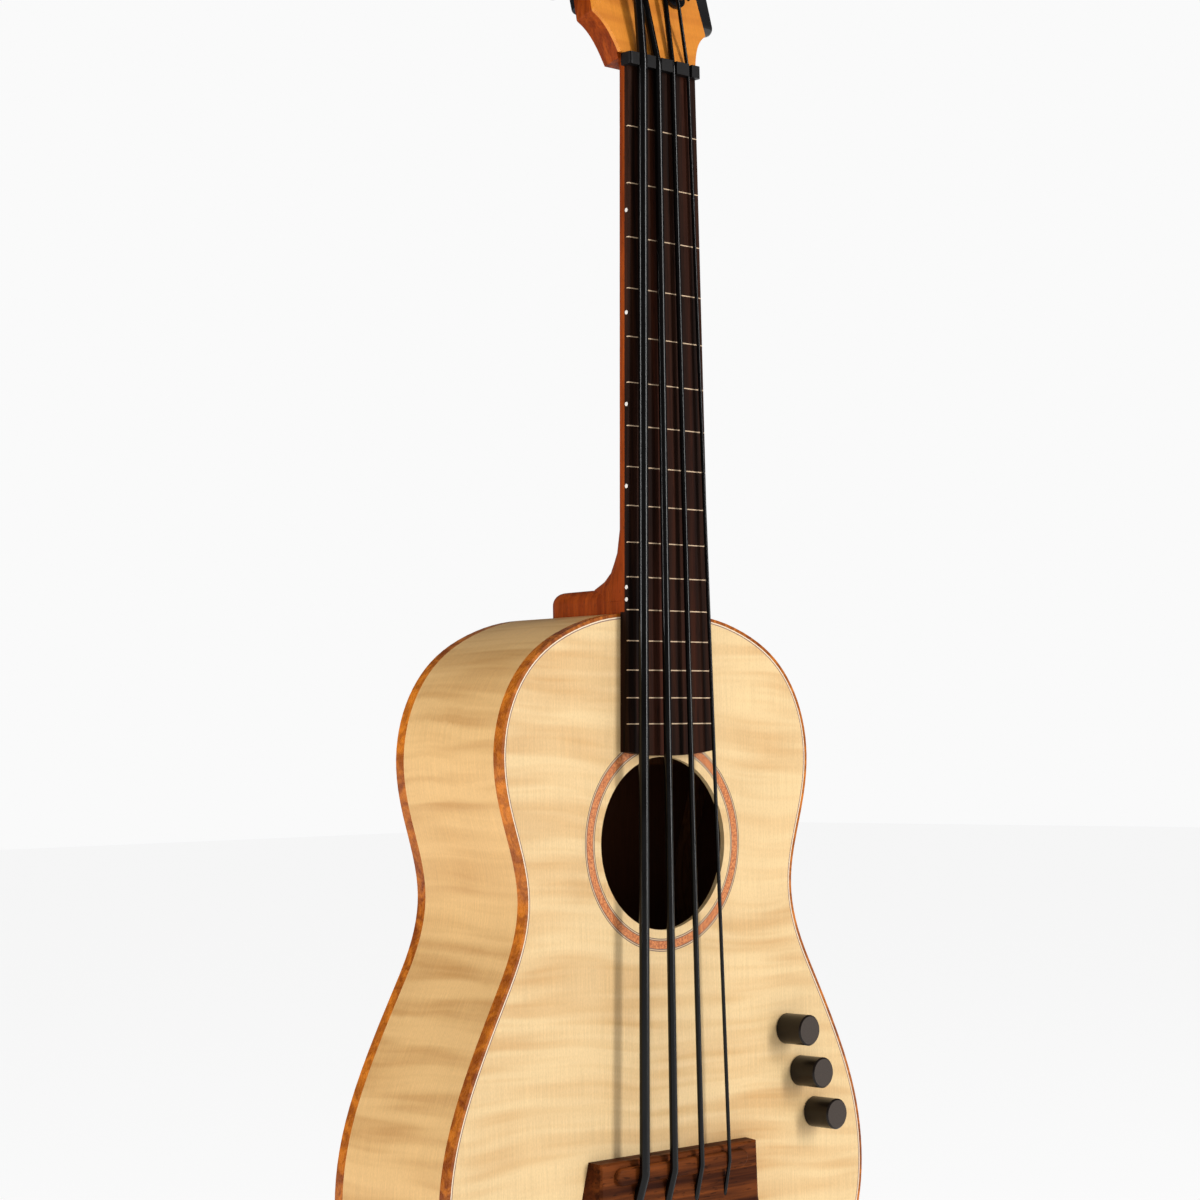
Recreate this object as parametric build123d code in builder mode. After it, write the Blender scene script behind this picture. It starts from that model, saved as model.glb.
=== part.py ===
"""Acoustic-electric fretless bass ukulele, built as it comes apart on a bench.

Frame: +Z runs up the neck to the headstock, the soundboard faces -Y and +X is the treble side.
The origin is on the fretboard's face at the nut's playing edge, where the scale starts, and on the
body's centre line; the fretboard's own middle is 2.2 mm to the treble side there. Millimetres.
"""
from math import cos, radians, sin
import os

from build123d import *

# ---------------------------------------------------------------- driving dimensions
SCALE = 521.0                 # nut to saddle
FRET_COUNT = 16               # inlaid position lines
BOARD_THICKNESS = 6.0         # over the soundboard
NECK_FRONT = 3.2              # board's thickness on the neck, and so the neck's front face
BOARD_NUT_HALF = 22.6
BOARD_END_HALF = 28.2
BOARD_NUT_MIDDLE = 2.2        # board's middle, to the treble side of the body's centre line
BOARD_END_MIDDLE = 0.5
BOARD_END = 327.0             # fretboard's end below the nut, at its corners
BOARD_END_BOW = 2.4
BOARD_CROWN = 0.5             # how far the edges fall away from the middle
LINE_WIDTH = 0.5
LINE_DEPTH = 1.2
DOT_RADIUS = 1.0
DOT_Y = 1.9                   # side dots' centres behind the board's face
DOT_DEPTH = 1.5

TOP_Y = BOARD_THICKNESS       # soundboard's face
PLATE = 2.6                   # soundboard and back plate
DEPTH_AT_NECK = 74.4          # body depth where the neck joins
NECK_END = 261.5              # top of the body below the nut
BACK_SLOPE = 0.0223           # the body deepens towards its tail
RIB = 3.0
BINDING_FRONT = 1.5
BINDING_SIDE = 5.8
PURFLING = 1.1
PURFLING_DEPTH = 1.0
LINING_WIDTH = 5.0
LINING_DEPTH = 8.0

# half of the body's outline, as (half width, distance below the nut)
HALF_OUTLINE = [
    (0, 261.5), (36, 263.4), (59, 270.2), (80.6, 283), (94.5, 300.7), (101.6, 329), (97.5, 355),
    (90.3, 378.6), (88.2, 395), (92, 414.5), (104, 439), (120.4, 470.2), (132.6, 501.5),
    (136.8, 529), (132.5, 560), (114, 590), (78, 610.5), (38, 617.6), (0, 619),
]
TAIL_END = HALF_OUTLINE[-1][1]
OUTLINE_STEPS = 30            # stations along half an outline that is drawn in

HOLE_RADIUS = 41.1
HOLE_DROP = 370.9
ROSETTE_INNER = 45.2
ROSETTE_OUTER = 51.3
ROSETTE_DEPTH = 1.0

HEAD_TILT = 14.0              # headstock's lean, degrees
HEAD_FACE_Y = 0.5             # headstock's face at the nut
HEAD_START = 6.0              # top of the nut
HEAD_LENGTH = 120.0
VENEER = 1.8
HEAD_CORE = 11.0

NUT_LEFT = 22.6               # the nut stands a little past the board on the treble side
NUT_RIGHT = 24.9
NUT_HEIGHT = 6.0
NUT_TOP_Y = -3.4

BRIDGE_TOP = 515.2
BRIDGE_BOTTOM = 552.0
BRIDGE_FACE_Y = -2.0
BRIDGE_FACE_HALF = 51.6
BRIDGE_BASE_TOP_HALF = 52.2
BRIDGE_BASE_BOTTOM_HALF = 62.0
SADDLE_DROP = 522.5
SADDLE_LENGTH = 87.0
SADDLE_WIDTH = 8.2
SADDLE_TOP_Y = -4.4
SADDLE_SEAT_Y = 2.0
PIEZO = 1.5
PIEZO_LENGTH = 77.6
PIEZO_WIDTH = 2.6
PIEZO_PLAY = 0.4
STRING_HOLE_DROP = 541.0

# per string: diameter, X at the nut, X at the saddle, post's X, post's distance up the headstock
STRINGS = {
    "e": (4.8, -14.1, -28.6, -19.3, 37.5),
    "a": (3.9, -3.6, -9.0, -17.0, 88.0),
    "d": (2.7, 7.2, 9.9, 17.0, 88.0),
    "g": (1.8, 18.0, 29.2, 19.3, 37.5),
}
STRING_CLEAR_NUT = 0.5        # string's underside above the fretboard at the nut
STRING_SEAT_Y = -4.3          # string's underside at the saddle
WRAP_HEIGHT = 8.0             # string's height above the headstock's face at its post
WRAP_GAP = 0.3
WRAP_ANGLE = 245.0

POST_RADIUS = 4.0
POST_ABOVE = 14.0
BUSHING_RADIUS = 4.8
RUNNING = 0.05                # radial running clearance
GEAR_RADIUS = 5.5
WORM_RADIUS = 2.5
SHAFT_RADIUS = 2.0
GEAR_GAP = 0.3
BUTTON_LENGTH = 28.0
BUTTON_WIDTH = 18.0
BUTTON_THICKNESS = 8.0

KNOBS = {"upper": (82.5, 465.2), "middle": (91.8, 486.7), "lower": (101.3, 507.8)}
KNOB_RADIUS = 7.5
KNOB_FACE_Y = TOP_Y - 16.0
KNOB_GAP = 0.5
KNOB_RECESS_RADIUS = 5.6      # clears the pot's fixing nut
POT_SHAFT_RADIUS = 3.0
POT_BUSHING_RADIUS = 3.5

JACK_Y = 45.0
JACK_BORE = 3.2
JACK_HOLE = 6.0
JACK_HOLE_DEEP = 40.0         # long enough to pass through rib and tail block

os.makedirs("parts", exist_ok=True)


def save(builder, name):
    """Label a finished piece and write it."""
    builder.part.label = name
    export_step(builder.part, f"parts/{name}.step")


# ---------------------------------------------------------------- shared planes and outlines
FRONT = Plane.XZ.offset(-TOP_Y)
BACK_Y = TOP_Y + DEPTH_AT_NECK
BACK = Plane(origin=(0, BACK_Y, -NECK_END), x_dir=(1, 0, 0), z_dir=(0, 1, BACK_SLOPE))
DEEP = DEPTH_AT_NECK + 30
TILT_SIN = sin(radians(HEAD_TILT))
TILT_COS = cos(radians(HEAD_TILT))
HEAD_UP = Vector(0, TILT_SIN, TILT_COS)
HEAD_FRONT = Vector(0, -TILT_COS, TILT_SIN)
HEAD_ORIGIN = Vector(0, HEAD_FACE_Y, HEAD_START)
FACE = Plane(origin=HEAD_ORIGIN, x_dir=(1, 0, 0), z_dir=HEAD_FRONT)


def half_curve(inset=0.0):
    """The treble half of the body's outline, from the neck round to the tail, drawn in by inset."""
    with BuildLine(mode=Mode.PRIVATE):
        outer = Spline([(x, -z) for x, z in HALF_OUTLINE], tangents=[(1, 0), (-1, 0)])
        if not inset:
            return outer
        spots = [i / OUTLINE_STEPS for i in range(OUTLINE_STEPS + 1)]
        moved = [outer @ u + Vector((outer % u).Y, -(outer % u).X) * inset for u in spots]
        return Spline(moved, tangents=[(1, 0), (-1, 0)])


def body_outline(inset=0.0):
    """The body's outline as a flat sketch, x across and y up, drawn in by inset."""
    with BuildSketch(mode=Mode.PRIVATE) as shape:
        with BuildLine():
            add(half_curve(inset))
            mirror(half_curve(inset), about=Plane.YZ)
        make_face()
    return shape.sketch


INNER = RIB + LINING_WIDTH
OUTLINES = {inset: body_outline(inset)
            for inset in (0.0, BINDING_FRONT, BINDING_FRONT + PURFLING, RIB, INNER)}


def prism(inset, front_depth, back_depth):
    """The body's outline drawn in by inset, from front_depth behind the soundboard's face to
    back_depth inside the back plate's face."""
    with BuildPart(mode=Mode.PRIVATE) as block:
        with BuildSketch(FRONT.offset(-front_depth)):
            add(OUTLINES[inset])
        extrude(amount=-DEEP)
        split(bisect_by=BACK.offset(-back_depth), keep=Keep.BOTTOM)
    return block.part


def strip(outer, inner, front_depth, back_depth):
    """The treble half of the ring between two drawn-in outlines, from neck to tail."""
    with BuildPart(mode=Mode.PRIVATE) as half:
        with BuildSketch(FRONT.offset(-front_depth)):
            with BuildLine():
                out_curve = half_curve(outer)
                in_curve = half_curve(inner)
                add([out_curve, in_curve])
                Line(out_curve @ 0, in_curve @ 0)
                Line(out_curve @ 1, in_curve @ 1)
            make_face()
        extrude(amount=-DEEP)
        split(bisect_by=BACK.offset(-back_depth), keep=Keep.BOTTOM)
    return half.part


def fret_drop(number):
    """Distance of an equal-tempered fret position below the nut."""
    return SCALE * (1 - 2 ** (-number / 12))


def board_half(drop):
    """Half width of the fretboard at a distance below the nut."""
    return BOARD_NUT_HALF + (BOARD_END_HALF - BOARD_NUT_HALF) * drop / BOARD_END


def board_middle(drop):
    """The fretboard's middle at a distance below the nut, as an X."""
    return BOARD_NUT_MIDDLE + (BOARD_END_MIDDLE - BOARD_NUT_MIDDLE) * drop / BOARD_END


# ---------------------------------------------------------------- string routes
def string_points(name):
    """A string's corners from its anchor to the tangent point at its post, and the wrap's frame."""
    diameter, nut_x, saddle_x, post_x, post_up = STRINGS[name]
    radius = diameter / 2
    anchor = Vector(saddle_x, TOP_Y + 11.0, -STRING_HOLE_DROP)
    hole = Vector(saddle_x, BRIDGE_FACE_Y + radius, -STRING_HOLE_DROP)
    saddle = Vector(saddle_x, STRING_SEAT_Y - radius, -SADDLE_DROP)
    nut = Vector(nut_x, -STRING_CLEAR_NUT - radius, NUT_HEIGHT / 2)
    centre = HEAD_ORIGIN + HEAD_UP * post_up + Vector(post_x, 0, 0) + HEAD_FRONT * WRAP_HEIGHT
    wrap_radius = POST_RADIUS + WRAP_GAP + radius
    inner = Vector(-1 if post_x > 0 else 1, 0, 0)
    for _ in range(4):
        tangent = centre + inner * wrap_radius
        along = (tangent - nut).normalized()
        side = along.cross(HEAD_FRONT).normalized()
        inner = side if side.dot(inner) > 0 else side * -1
    return [anchor, hole, saddle, nut, tangent], centre, inner, along, wrap_radius


def string_path(name):
    """The string's line: straight runs and tangent arcs, then a wrap round the post."""
    points, centre, inner, along, wrap_radius = string_points(name)
    turns = [centre + (inner * cos(radians(a)) + along * sin(radians(a))) * wrap_radius
             for a in (WRAP_ANGLE * i / 4 for i in range(5))]
    with BuildLine(mode=Mode.PRIVATE) as line:
        FilletPolyline(*points, radius=[5.5, 6.0, 6.0])
        ThreePointArc(turns[0], turns[1], turns[2])
        ThreePointArc(turns[2], turns[3], turns[4])
    return line.wires()[0]


PATHS = {name: string_path(name) for name in STRINGS}


def swept_string(name, extra=0.0):
    """A tube along a string's line, wider than the string by extra all round."""
    path = PATHS[name]
    with BuildPart(mode=Mode.PRIVATE) as tube:
        with BuildSketch(Plane(origin=path @ 0, z_dir=path % 0)):
            Circle(STRINGS[name][0] / 2 + extra)
        sweep(path=path)
    return tube.part


# ---------------------------------------------------------------- sound box
HOLE_PLANE = Plane(origin=(0, TOP_Y, -HOLE_DROP), x_dir=(1, 0, 0), z_dir=(0, -1, 0))

with BuildPart() as soundboard:
    add(prism(BINDING_FRONT, 0, 0))
    split(bisect_by=FRONT.offset(-PLATE), keep=Keep.TOP)
    with BuildSketch(HOLE_PLANE):
        Circle(HOLE_RADIUS)
    extrude(amount=-PLATE, mode=Mode.SUBTRACT)
    with BuildSketch(HOLE_PLANE):
        Circle(ROSETTE_OUTER)
        Circle(ROSETTE_INNER, mode=Mode.SUBTRACT)
    extrude(amount=-ROSETTE_DEPTH, mode=Mode.SUBTRACT)
    with BuildSketch(FRONT):
        add(OUTLINES[BINDING_FRONT])
        add(OUTLINES[BINDING_FRONT + PURFLING], mode=Mode.SUBTRACT)
    extrude(amount=-PURFLING_DEPTH, mode=Mode.SUBTRACT)
    for x, drop in KNOBS.values():
        with BuildSketch(FRONT):
            with Locations((x, -drop)):
                Circle(POT_BUSHING_RADIUS + 0.1)
        extrude(amount=-PLATE, mode=Mode.SUBTRACT)
    for diameter, _, saddle_x, _, _ in STRINGS.values():
        with BuildSketch(FRONT):
            with Locations((saddle_x, -STRING_HOLE_DROP)):
                Circle(diameter / 2 + 0.3)
        extrude(amount=-PLATE, mode=Mode.SUBTRACT)
save(soundboard, "soundboard")

with BuildPart() as rosette:
    with BuildSketch(HOLE_PLANE):
        Circle(ROSETTE_OUTER)
        Circle(ROSETTE_INNER, mode=Mode.SUBTRACT)
    extrude(amount=-ROSETTE_DEPTH)
save(rosette, "rosette")

with BuildPart() as top_purfling:
    with BuildSketch(FRONT):
        add(OUTLINES[BINDING_FRONT])
        add(OUTLINES[BINDING_FRONT + PURFLING], mode=Mode.SUBTRACT)
    extrude(amount=-PURFLING_DEPTH)
save(top_purfling, "top_purfling")

with BuildPart() as back_plate:
    add(prism(BINDING_FRONT, 0, 0))
    split(bisect_by=BACK.offset(-PLATE), keep=Keep.TOP)
save(back_plate, "back_plate")

with BuildPart() as top_binding:
    add(strip(0.0, BINDING_FRONT, 0, 0))
    split(bisect_by=FRONT.offset(-BINDING_SIDE), keep=Keep.TOP)
    mirror(about=Plane.YZ)
save(top_binding, "top_binding")

with BuildPart() as back_binding:
    add(strip(0.0, BINDING_FRONT, 0, 0))
    split(bisect_by=BACK.offset(-BINDING_SIDE), keep=Keep.TOP)
    mirror(about=Plane.YZ)
save(back_binding, "back_binding")

JACK_PLANE = Plane(origin=(0, JACK_Y, -TAIL_END), x_dir=(1, 0, 0), z_dir=(0, 0, -1))

RIB_CUTS = (352.0, 436.0)     # each side's bent strip is in three lengths: bout, waist and bout


def rib_side():
    """The treble side's whole bent strip, rebated for the bindings and plates."""
    with BuildPart(mode=Mode.PRIVATE) as side:
        add(strip(0.0, BINDING_FRONT, BINDING_SIDE, BINDING_SIDE))
        add(strip(BINDING_FRONT, RIB, PLATE, PLATE))
        with BuildSketch(JACK_PLANE):
            Circle(JACK_HOLE)
        extrude(amount=-JACK_HOLE_DEEP, mode=Mode.SUBTRACT)
    return side.part


RIB_SIDE = rib_side()
UPPER_CUT = Plane.XY.offset(-RIB_CUTS[0])
LOWER_CUT = Plane.XY.offset(-RIB_CUTS[1])

with BuildPart() as rib_treble_upper:
    add(RIB_SIDE)
    split(bisect_by=UPPER_CUT, keep=Keep.TOP)
save(rib_treble_upper, "rib_treble_upper")

with BuildPart() as rib_treble_waist:
    add(RIB_SIDE)
    split(bisect_by=UPPER_CUT, keep=Keep.BOTTOM)
    split(bisect_by=LOWER_CUT, keep=Keep.TOP)
save(rib_treble_waist, "rib_treble_waist")

with BuildPart() as rib_treble_lower:
    add(RIB_SIDE)
    split(bisect_by=LOWER_CUT, keep=Keep.BOTTOM)
save(rib_treble_lower, "rib_treble_lower")

for treble, name in ((rib_treble_upper, "upper"), (rib_treble_waist, "waist"), (rib_treble_lower, "lower")):
    with BuildPart() as rib_bass:
        add(mirror(treble.part, about=Plane.YZ, mode=Mode.PRIVATE))
    save(rib_bass, f"rib_bass_{name}")

BLOCK_HALF = 30.0
BLOCK_THICK = 30.0
TAIL_HALF = 36.0
TAIL_THICK = 16.0


def slabs(half, spans):
    """Boxes through the whole body, within half of the centre, one per pair of heights."""
    with BuildPart(mode=Mode.PRIVATE) as boxes:
        for low_drop, high_drop in spans:
            with Locations((0, DEEP / 2, -(low_drop + high_drop) / 2)):
                Box(2 * half, 2 * DEEP, high_drop - low_drop)
    return boxes.part


def inner_slice(half, low_drop, high_drop):
    """What lies inside the ribs and plates, within half of the centre and between two heights."""
    with BuildPart(mode=Mode.PRIVATE) as piece:
        add(prism(RIB, PLATE, PLATE))
        add(slabs(half, [(low_drop, high_drop)]), mode=Mode.INTERSECT)
    return piece.part


with BuildPart() as neck_block:
    add(inner_slice(BLOCK_HALF, NECK_END - 5, NECK_END + RIB + BLOCK_THICK))
save(neck_block, "neck_block")

with BuildPart() as tail_block:
    add(inner_slice(TAIL_HALF, TAIL_END - RIB - TAIL_THICK, TAIL_END + 5))
    with BuildSketch(JACK_PLANE):
        Circle(JACK_HOLE)
    extrude(amount=-JACK_HOLE_DEEP, mode=Mode.SUBTRACT)
save(tail_block, "tail_block")


def lining(near_front):
    """The pair of glue strips between the ribs and one plate, left and right of the blocks."""
    with BuildPart(mode=Mode.PRIVATE) as strips:
        add(strip(RIB, RIB + LINING_WIDTH, PLATE, PLATE))
        if near_front:
            split(bisect_by=FRONT.offset(-PLATE - LINING_DEPTH), keep=Keep.TOP)
        else:
            split(bisect_by=BACK.offset(-PLATE - LINING_DEPTH), keep=Keep.TOP)
        with Locations((0, BACK_Y / 2, -NECK_END), (0, BACK_Y / 2, -TAIL_END)):
            Box(2 * TAIL_HALF, 2 * DEEP, 40, mode=Mode.SUBTRACT)
        mirror(about=Plane.YZ)
    return strips


for lining_name, near_front in (("top_linings", True), ("back_linings", False)):
    save(lining(near_front), lining_name)

BRACE_WIDTH = 8.0
TOP_BRACE_DEPTH = 12.0
BACK_BRACE_DEPTH = 10.0


def braces(near_front, drops, depth):
    """Bars across a plate's inside, between the linings, at the given distances below the nut."""
    with BuildPart(mode=Mode.PRIVATE) as bars:
        add(prism(INNER, PLATE, PLATE))
        if near_front:
            split(bisect_by=FRONT.offset(-PLATE - depth), keep=Keep.TOP)
        else:
            split(bisect_by=BACK.offset(-PLATE - depth), keep=Keep.TOP)
        spans = [(drop - BRACE_WIDTH / 2, drop + BRACE_WIDTH / 2) for drop in drops]
        add(slabs(200, spans), mode=Mode.INTERSECT)
    return bars


TONE_BAR_X = 66.0
TONE_BAR_DROP = 508.0
TONE_BAR_WIDTH = 6.0
TONE_BAR_LENGTH = 150.0
TONE_BAR_DEPTH = 8.0
TOP_BRACE_DROPS = (316.0, 426.0)
BACK_BRACE_DROPS = (330.0, 430.0, 530.0)

with BuildPart() as top_braces:
    add(braces(True, TOP_BRACE_DROPS, TOP_BRACE_DEPTH).part)
    with BuildSketch(FRONT.offset(-PLATE)):
        with Locations((-TONE_BAR_X, -TONE_BAR_DROP), (TONE_BAR_X, -TONE_BAR_DROP)):
            Rectangle(TONE_BAR_WIDTH, TONE_BAR_LENGTH)
    extrude(amount=-TONE_BAR_DEPTH)
save(top_braces, "top_braces")

save(braces(False, BACK_BRACE_DROPS, BACK_BRACE_DEPTH), "back_braces")

BRIDGE_PLATE = 2.5
BRIDGE_PLATE_DROP = 536.0
BRIDGE_PLATE_SIZE = (110.0, 36.0)

with BuildPart() as bridge_plate:
    with BuildSketch(FRONT.offset(-PLATE)):
        with Locations((0, -BRIDGE_PLATE_DROP)):
            Rectangle(*BRIDGE_PLATE_SIZE)
        with Locations([(s[2], -STRING_HOLE_DROP) for s in STRINGS.values()]):
            Circle(2.8, mode=Mode.SUBTRACT)
    extrude(amount=-BRIDGE_PLATE)
save(bridge_plate, "bridge_plate")

# ---------------------------------------------------------------- neck and headstock
ROD_RADIUS = 3.0
ROD_Y = NECK_FRONT + 3.6
ROD_TOP = 8.0
ROD_BOTTOM = 250.0
ROD_PLAY = 0.4


def neck_section(height, front, depth, half, middle):
    """Half an ellipse across the neck at a height: flat in front and round behind."""
    with BuildSketch(Plane.XY.offset(height), mode=Mode.PRIVATE) as section:
        with BuildLine():
            EllipticalCenterArc((middle, front), half, depth, start_angle=0, arc_size=180)
            Line((middle - half, front), (middle + half, front))
        make_face()
    return section.sketch


# drop below the nut and depth behind the neck's front face
NECK_DEPTHS = [(0, 13.0), (222, 13.8), (233, 17.5), (242, 24.8), (246, 31.5), (249, 40.0), (256, 48.0)]
# height, front, depth, half width, middle
NECK_SECTIONS = [(40, 13.0, 7.6, 13.0, 0.0), (6, NECK_FRONT, 14.0, 22.8, 1.6)]
NECK_SECTIONS += [(-drop, NECK_FRONT, depth, board_half(drop), board_middle(drop))
                  for drop, depth in NECK_DEPTHS]
HEEL_DROP = 249.5
HEEL_LENGTH = 18.5
HEEL_BACK_Y = 69.0
HEEL_BACK_HALF = 21.0
HEEL_CORNER = 17.0
HEEL_RIM = 6.0


def heel_block():
    """The heel against the body: tapered towards the back, its upper rim rounded."""
    half = board_half(HEEL_DROP)
    middle = board_middle(HEEL_DROP)
    with BuildPart(mode=Mode.PRIVATE) as heel:
        with BuildSketch(Plane.XY.offset(-HEEL_DROP)) as section:
            with BuildLine():
                Polyline((middle - half, NECK_FRONT), (middle - HEEL_BACK_HALF, HEEL_BACK_Y),
                         (middle + HEEL_BACK_HALF, HEEL_BACK_Y), (middle + half, NECK_FRONT), close=True)
            make_face()
            fillet(section.vertices().group_by(Axis.Y)[-1], HEEL_CORNER)
        extrude(amount=-HEEL_LENGTH)
        top_rim = heel.edges().group_by(Axis.Z)[-1].filter_by_position(Axis.Y, 8, 90)
        fillet(top_rim, HEEL_RIM)
    return heel.part


def head_outline():
    """The headstock's outline: flared shoulders, long tapered sides and a shallow crowned tip."""
    with BuildSketch(mode=Mode.PRIVATE) as outline:
        with BuildLine():
            foot = Line((0, -2), (24.6, -2))
            shoulder = Spline(foot @ 1, (27.2, 6), (31.0, 13.5), (37.6, 19.5))
            side = Line(shoulder @ 1, (31.0, HEAD_LENGTH - 7))
            Spline(side @ 1, (17, HEAD_LENGTH - 1.2), (0, HEAD_LENGTH), tangents=[(-1, 0.9), (-1, 0)])
            mirror(about=Plane.YZ)
        make_face()
        corners = outline.vertices().filter_by_position(Axis.Y, 15, HEAD_LENGTH - 3)
        fillet(corners, 1.6)
    return outline.sketch


HEAD_SKETCH = head_outline()


def post_plane(name):
    """The headstock's back at a tuner's post: x out to the side, z away from the back."""
    _, _, _, post_x, post_up = STRINGS[name]
    on_back = HEAD_ORIGIN + HEAD_UP * post_up + Vector(post_x, 0, 0) - HEAD_FRONT * (VENEER + HEAD_CORE)
    return Plane(origin=on_back, x_dir=(1 if post_x > 0 else -1, 0, 0), z_dir=HEAD_FRONT * -1)


HEAD_THICK = VENEER + HEAD_CORE
WORM_OFFSET = GEAR_RADIUS + WORM_RADIUS + GEAR_GAP


def up_sign(name):
    """+1 where the tuner plane's y axis points up the headstock, otherwise -1."""
    return 1 if post_plane(name).y_dir.Z > 0 else -1


SCREW_X = -5.5
SCREW_SPAN = 11.0
SCREW_RADIUS = 1.2
SCREW_DEEP = 7.0

with BuildPart() as neck:
    for lower, upper in zip(NECK_SECTIONS[1:], NECK_SECTIONS[:-1]):
        add(neck_section(*lower))
        add(neck_section(*upper))
        loft(ruled=True)
    add(heel_block())
    with BuildSketch(FACE):
        add(HEAD_SKETCH)
    extrude(amount=-HEAD_THICK)
    with BuildSketch(Plane.XY):
        with Locations((0, NECK_FRONT - 20)):
            Rectangle(80, 40)
    extrude(amount=HEAD_START, mode=Mode.SUBTRACT)
    split(bisect_by=FACE.offset(-VENEER), keep=Keep.BOTTOM)
    add(prism(0.0, -20, -20), mode=Mode.SUBTRACT)
    with Locations((0, 0, -NECK_END - 10)):
        Box(80, 2 * BOARD_THICKNESS, 20, mode=Mode.SUBTRACT)
    with BuildSketch(Plane.XY.offset(-ROD_TOP)):
        with Locations((0, ROD_Y)):
            Rectangle(2 * ROD_RADIUS + ROD_PLAY, 2 * ROD_RADIUS + ROD_PLAY)
    extrude(amount=-(ROD_BOTTOM - ROD_TOP), mode=Mode.SUBTRACT)
    for name in STRINGS:
        with BuildSketch(post_plane(name)):
            Circle(BUSHING_RADIUS + RUNNING)
        extrude(amount=-HEAD_THICK, mode=Mode.SUBTRACT)
        with BuildSketch(post_plane(name)):
            with Locations((SCREW_X, -SCREW_SPAN * up_sign(name))):
                Circle(SCREW_RADIUS + RUNNING)
        extrude(amount=-SCREW_DEEP, mode=Mode.SUBTRACT)
save(neck, "neck")

with BuildPart() as headstock_veneer:
    with BuildSketch(FACE):
        add(HEAD_SKETCH)
    extrude(amount=-VENEER)
    split(bisect_by=Plane.XY.offset(HEAD_START), keep=Keep.TOP)
    for name in STRINGS:
        with BuildSketch(post_plane(name)):
            Circle(BUSHING_RADIUS + RUNNING)
        extrude(amount=-HEAD_THICK - 1, mode=Mode.SUBTRACT)
save(headstock_veneer, "headstock_veneer")

with BuildPart() as truss_rod:
    with BuildSketch(Plane.XY.offset(-ROD_TOP - 1)):
        with Locations((0, ROD_Y)):
            Circle(ROD_RADIUS)
    extrude(amount=-(ROD_BOTTOM - ROD_TOP - 2))
save(truss_rod, "truss_rod")


def board_section(drop):
    """The fretboard's section at a distance below the nut, with its crowned face."""
    left = board_middle(drop) - board_half(drop)
    right = board_middle(drop) + board_half(drop)
    with BuildSketch(Plane.XY.offset(-drop), mode=Mode.PRIVATE) as section:
        with BuildLine():
            ThreePointArc((left, BOARD_CROWN), (board_middle(drop), 0), (right, BOARD_CROWN))
            Polyline((right, BOARD_CROWN), (right, BOARD_THICKNESS), (left, BOARD_THICKNESS),
                     (left, BOARD_CROWN))
        make_face()
    return section.sketch


def board_window():
    """The fretboard's extent seen from the front, with its bowed end."""
    with BuildPart(mode=Mode.PRIVATE) as window:
        with BuildSketch(Plane.XZ.offset(10)):
            with BuildLine():
                ThreePointArc((-30, -BOARD_END), (0, -BOARD_END - BOARD_END_BOW), (30, -BOARD_END))
                Polyline((30, -BOARD_END), (30, 5), (-30, 5), (-30, -BOARD_END))
            make_face()
        extrude(amount=-30)
    return window.part


with BuildPart() as board_blank:
    add(board_section(0))
    add(board_section(BOARD_END + BOARD_END_BOW))
    loft(ruled=True)
    add(board_window(), mode=Mode.INTERSECT)
    with BuildSketch(Plane.XY.offset(-NECK_END)):
        with Locations((0, NECK_FRONT + 5)):
            Rectangle(80, 10)
    extrude(amount=NECK_END, mode=Mode.SUBTRACT)


def line_slices():
    """A thin slice through the fretboard's face at each fret position."""
    with BuildPart(mode=Mode.PRIVATE) as slices:
        with Locations([(0, 0, -fret_drop(n)) for n in range(1, FRET_COUNT + 1)]):
            Box(80, 2 * (LINE_DEPTH + BOARD_CROWN), LINE_WIDTH)
    return slices.part


with BuildPart() as fret_lines:
    add(board_blank.part)
    add(line_slices(), mode=Mode.INTERSECT)
save(fret_lines, "fret_lines")


def dot_drops():
    """Side dots: one halfway before lines 3, 5, 7 and 9, and a pair before line 12."""
    singles = [(fret_drop(n - 1) + fret_drop(n)) / 2 for n in (3, 5, 7, 9)]
    octave = (fret_drop(11) + fret_drop(12)) / 2
    return singles + [octave - 2.9, octave + 2.9]


def dot_rods():
    """Short rods into the fretboard's bass edge where the side dots are."""
    with BuildPart(mode=Mode.PRIVATE) as rods:
        for drop in dot_drops():
            edge = board_middle(drop) - board_half(drop)
            with BuildSketch(Plane(origin=(edge - 1, DOT_Y, -drop), x_dir=(0, 1, 0), z_dir=(1, 0, 0))):
                Circle(DOT_RADIUS)
            extrude(amount=1 + DOT_DEPTH)
    return rods.part


with BuildPart() as side_dots:
    add(board_blank.part)
    add(dot_rods(), mode=Mode.INTERSECT)
save(side_dots, "side_dots")

with BuildPart() as fretboard:
    add(board_blank.part)
    add(fret_lines.part, mode=Mode.SUBTRACT)
    add(side_dots.part, mode=Mode.SUBTRACT)
save(fretboard, "fretboard")

with BuildPart() as nut:
    with BuildSketch(Plane.XY) as nut_section:
        with BuildLine():
            Polyline((-NUT_LEFT, NECK_FRONT), (-NUT_LEFT, NUT_TOP_Y), (NUT_RIGHT, NUT_TOP_Y),
                     (NUT_RIGHT, NECK_FRONT), close=True)
        make_face()
        fillet(nut_section.vertices().group_by(Axis.Y)[0], 1.2)
        for diameter, nut_x, _, _, _ in STRINGS.values():
            reach = -STRING_CLEAR_NUT - diameter / 2
            with Locations((nut_x, reach - 5)):
                Rectangle(diameter + 0.1, 10, mode=Mode.SUBTRACT)
    extrude(amount=NUT_HEIGHT)
    for name in STRINGS:
        add(swept_string(name, 0.05), mode=Mode.SUBTRACT)
save(nut, "nut")

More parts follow.
